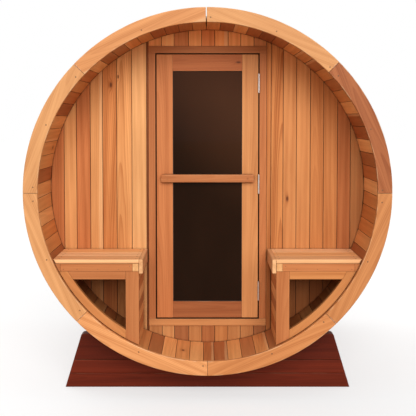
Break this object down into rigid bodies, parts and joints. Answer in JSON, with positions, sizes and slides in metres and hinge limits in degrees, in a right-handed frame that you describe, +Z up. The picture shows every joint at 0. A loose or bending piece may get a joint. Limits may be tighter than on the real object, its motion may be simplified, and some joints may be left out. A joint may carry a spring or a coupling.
{
  "type": "barrel sauna",
  "caption": "Barrel-shaped wooden sauna cabin lying on cradles, with a recessed glazed door, a porch with side benches, and trim rings round its ends.",
  "frame": {"origin": "on the floor under the middle of the barrel, at the bottom centre of the whole", "axes": "+Z up, +Y from the door end to the rear along the barrel, +X to the right seen from the front"},
  "size_m": [2.134, 2.438, 2.283],
  "materials": {
    "wood_shell": "satin",
    "wood_ring": "satin",
    "wood_wall": "satin",
    "wood_door": "satin",
    "wood_casing": "satin",
    "wood_sill": "satin",
    "wood_bench": "satin",
    "wood_floor": "matte",
    "wood_cradle": "satin",
    "tinted_glass": "tinted",
    "hinge_steel": "brushed",
    "hoop_steel": "brushed"
  },
  "bodies": {
    "building": {"bench_bearers": "wood_bench", "bench_curved_rails": "wood_bench", "bench_posts": "wood_bench", "bench_top_rails": "wood_bench", "door_head": "wood_casing", "door_jambs": "wood_casing", "door_sill": "wood_sill", "floor_bearers": "wood_floor", "front_cradle": "wood_cradle", "front_trim_ring": "wood_ring", "front_wall_left": "wood_wall", "front_wall_over_door": "wood_wall", "front_wall_right": "wood_wall", "front_wall_under_door": "wood_wall", "hinge_jamb_halves": "hinge_steel", "interior_floor": "wood_floor", "left_bench_apron": "wood_bench", "left_bench_nosing": "wood_bench", "left_bench_seat": "wood_bench", "left_bench_side_panel": "wood_bench", "rear_cradle": "wood_cradle", "rear_trim_ring": "wood_ring", "rear_wall": "wood_wall", "right_bench_apron": "wood_bench", "right_bench_nosing": "wood_bench", "right_bench_seat": "wood_bench", "right_bench_side_panel": "wood_bench", "shell_crown": "wood_shell", "shell_keel": "wood_shell", "shell_left_lower": "wood_shell", "shell_left_middle": "wood_shell", "shell_left_shoulder": "wood_shell", "shell_left_upper": "wood_shell", "shell_right_lower": "wood_shell", "shell_right_middle": "wood_shell", "shell_right_shoulder": "wood_shell", "shell_right_upper": "wood_shell", "steel_hoops": "hoop_steel"},
    "door": {"door_glass": "tinted_glass", "door_handle_bar": "wood_door", "door_rails": "wood_door", "door_stiles": "wood_door", "hinge_door_halves": "hinge_steel"}
  },
  "joints": [
    {"name": "door_hinge", "type": "hinge", "parent": "building", "child": "door", "pos_m": [0.3205, -0.743, 1.216], "axis": [0, 0, 1], "range_deg": [0, 95]}
  ]
}
